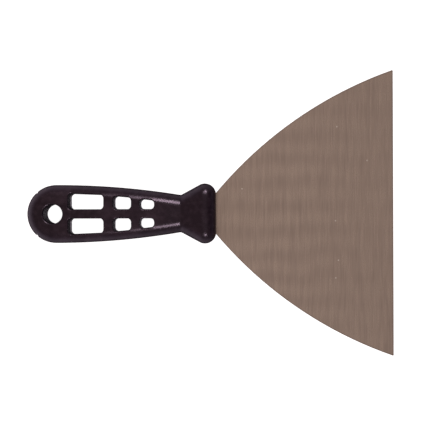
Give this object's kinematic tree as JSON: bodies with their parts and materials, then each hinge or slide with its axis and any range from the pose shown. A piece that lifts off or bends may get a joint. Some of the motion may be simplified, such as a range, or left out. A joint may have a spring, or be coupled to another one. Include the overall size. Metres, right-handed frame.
{
  "type": "flexible putty knife",
  "caption": "Flexible putty knife: a wide, thin steel blade with curved sides and a straight working edge, moulded into an openwork plastic handle that has a hanging hole.",
  "frame": {"origin": "centre of the hanging hole, half way through the handle's thickness, which is also the blade's mid-plane", "axes": "+X along the tool from the butt to the working edge, +Y across it, +Z out of the blade's face"},
  "size_m": [0.1914, 0.1496, 0.0176],
  "materials": {
    "blade_steel": "brushed along the working edge",
    "handle_plastic": "fine spark texture, satin"
  },
  "bodies": {
    "root": {"blade": "blade_steel", "handle": "handle_plastic"}
  },
  "joints": []
}
